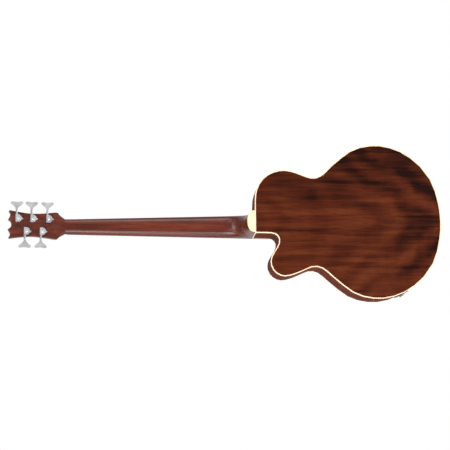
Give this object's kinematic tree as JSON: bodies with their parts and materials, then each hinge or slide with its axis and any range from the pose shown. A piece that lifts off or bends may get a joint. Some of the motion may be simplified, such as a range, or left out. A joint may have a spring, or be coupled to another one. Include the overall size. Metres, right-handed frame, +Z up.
{
  "type": "acoustic-electric bass guitar",
  "caption": "Hollow-body five-string acoustic-electric bass guitar with single cutaway, bound flat top and back, geared tuners, side preamp and output jack.",
  "frame": {"origin": "between the two shoulders of the headstock just beyond the nut, where a hanger's yoke carries the instrument", "axes": "+Z up along the neck towards the headstock tip, +Y out of the back, +X towards the treble (cutaway) side; strings face -Y"},
  "size_m": [0.4274, 0.1242, 1.209],
  "materials": {
    "battery": "plain sleeve",
    "black_plastic": "black moulded plastic",
    "bone": "polished bone",
    "bronze": "round-wound bronze",
    "cream": "cream binding",
    "inlay": "pearly ring inlay",
    "inner_wood": "bare sanded wood",
    "mahogany": "satin, open-pored reddish brown mahogany",
    "neck_wood": "satin reddish brown mahogany",
    "nickel": "satin nickel plate",
    "rosewood": "oiled dark rosewood",
    "spruce": "satin spruce",
    "steel": "plain steel"
  },
  "bodies": {
    "instrument": {"back_binding": "cream", "back_brace_lower": "inner_wood", "back_brace_upper": "inner_wood", "back_lining": "inner_wood", "back_plate": "mahogany", "battery": "battery", "bridge": "rosewood", "bridge_plate": "inner_wood", "corner_binding": "cream", "fingerboard": "rosewood", "frets": "nickel", "headstock_veneer": "rosewood", "heel_cap": "cream", "jack_plate": "black_plastic", "neck": "neck_wood", "neck_block": "inner_wood", "nut": "bone", "output_jack": "nickel", "piezo_strip": "steel", "preamp_case": "black_plastic", "rib_bass": "mahogany", "rib_treble": "mahogany", "rosette": "inlay", "saddle": "bone", "soundboard": "spruce", "strap_button": "nickel", "string_1": "bronze", "string_2": "bronze", "string_3": "bronze", "string_4": "bronze", "string_5": "bronze", "tail_block": "inner_wood", "top_binding": "cream", "top_lining": "inner_wood", "truss_rod": "steel", "truss_rod_cover": "black_plastic", "tuner_housing_1": "nickel", "tuner_housing_2": "nickel", "tuner_housing_3": "nickel", "tuner_housing_4": "nickel", "tuner_housing_5": "nickel", "upper_brace": "inner_wood", "x_brace_bass": "inner_wood", "x_brace_treble": "inner_wood"},
    "key_1": {"tuner_key_1": "nickel"},
    "post_1": {"tuner_post_1": "nickel"},
    "key_2": {"tuner_key_2": "nickel"},
    "post_2": {"tuner_post_2": "nickel"},
    "key_3": {"tuner_key_3": "nickel"},
    "post_3": {"tuner_post_3": "nickel"},
    "key_4": {"tuner_key_4": "nickel"},
    "post_4": {"tuner_post_4": "nickel"},
    "key_5": {"tuner_key_5": "nickel"},
    "post_5": {"tuner_post_5": "nickel"},
    "rod_nut": {"truss_rod_nut": "steel"},
    "volume": {"volume_knob": "black_plastic"},
    "bass_fader": {"bass_slider": "black_plastic"},
    "treble_fader": {"treble_slider": "black_plastic"},
    "button": {"phase_button": "black_plastic"},
    "door": {"battery_door": "black_plastic"}
  },
  "joints": [
    {"name": "key_1_turn", "type": "hinge", "parent": "instrument", "child": "key_1", "pos_m": [-0.0176, 0.02267, 0.04081], "axis": [-1, 0, 0], "continuous": true},
    {"name": "post_1_turn", "type": "hinge", "parent": "instrument", "child": "post_1", "pos_m": [-0.0186, 0.00325, 0.0376], "axis": [0, -0.9744, 0.225], "continuous": true},
    {"name": "key_2_turn", "type": "hinge", "parent": "instrument", "child": "key_2", "pos_m": [-0.0172, 0.03252, 0.08349], "axis": [-1, 0, 0], "continuous": true},
    {"name": "post_2_turn", "type": "hinge", "parent": "instrument", "child": "post_2", "pos_m": [-0.0162, 0.0131, 0.08028], "axis": [0, -0.9744, 0.225], "continuous": true},
    {"name": "key_3_turn", "type": "hinge", "parent": "instrument", "child": "key_3", "pos_m": [-0.0166, 0.04168, 0.12315], "axis": [-1, 0, 0], "continuous": true},
    {"name": "post_3_turn", "type": "hinge", "parent": "instrument", "child": "post_3", "pos_m": [-0.0162, 0.02226, 0.11993], "axis": [0, -0.9744, 0.225], "continuous": true},
    {"name": "key_4_turn", "type": "hinge", "parent": "instrument", "child": "key_4", "pos_m": [0.0186, 0.03639, 0.10025], "axis": [1, 0, 0], "continuous": true},
    {"name": "post_4_turn", "type": "hinge", "parent": "instrument", "child": "post_4", "pos_m": [0.0182, 0.01697, 0.09703], "axis": [0, -0.9744, 0.225], "continuous": true},
    {"name": "key_5_turn", "type": "hinge", "parent": "instrument", "child": "key_5", "pos_m": [0.0178, 0.02656, 0.05767], "axis": [1, 0, 0], "continuous": true},
    {"name": "post_5_turn", "type": "hinge", "parent": "instrument", "child": "post_5", "pos_m": [0.0178, 0.00714, 0.05446], "axis": [0, -0.9744, 0.225], "continuous": true},
    {"name": "truss_rod_nut_turn", "type": "hinge", "parent": "instrument", "child": "rod_nut", "pos_m": [0, -0.0028, -0.026], "axis": [0, 0, 1], "range_deg": [-360, 360]},
    {"name": "volume_turn", "type": "hinge", "parent": "instrument", "child": "volume", "pos_m": [-0.142, 0.057, -0.601], "axis": [-0.9872, 0, 0.1593], "range_deg": [-150, 150]},
    {"name": "bass_slide", "type": "slide", "parent": "instrument", "child": "bass_fader", "axis": [-0.1478, 0, 0.989], "range_m": [-0.006, 0.006]},
    {"name": "treble_slide", "type": "slide", "parent": "instrument", "child": "treble_fader", "axis": [-0.1478, 0, 0.989], "range_m": [-0.006, 0.006]},
    {"name": "phase_press", "type": "slide", "parent": "instrument", "child": "button", "axis": [0.9596, 0, 0.2815], "range_m": [0, 0.0015], "stiffness_N_per_m": 200, "springref_m": -0.001},
    {"name": "battery_door_hinge", "type": "hinge", "parent": "instrument", "child": "door", "pos_m": [-0.14154, 0.032, -0.59291], "axis": [0, 1, 0], "range_deg": [0, 90]}
  ],
  "couplings": [
    {"joint": "post_1_turn", "follows": "key_1_turn", "ratio": -0.05},
    {"joint": "post_2_turn", "follows": "key_2_turn", "ratio": -0.05},
    {"joint": "post_3_turn", "follows": "key_3_turn", "ratio": -0.05},
    {"joint": "post_4_turn", "follows": "key_4_turn", "ratio": 0.05},
    {"joint": "post_5_turn", "follows": "key_5_turn", "ratio": 0.05}
  ]
}
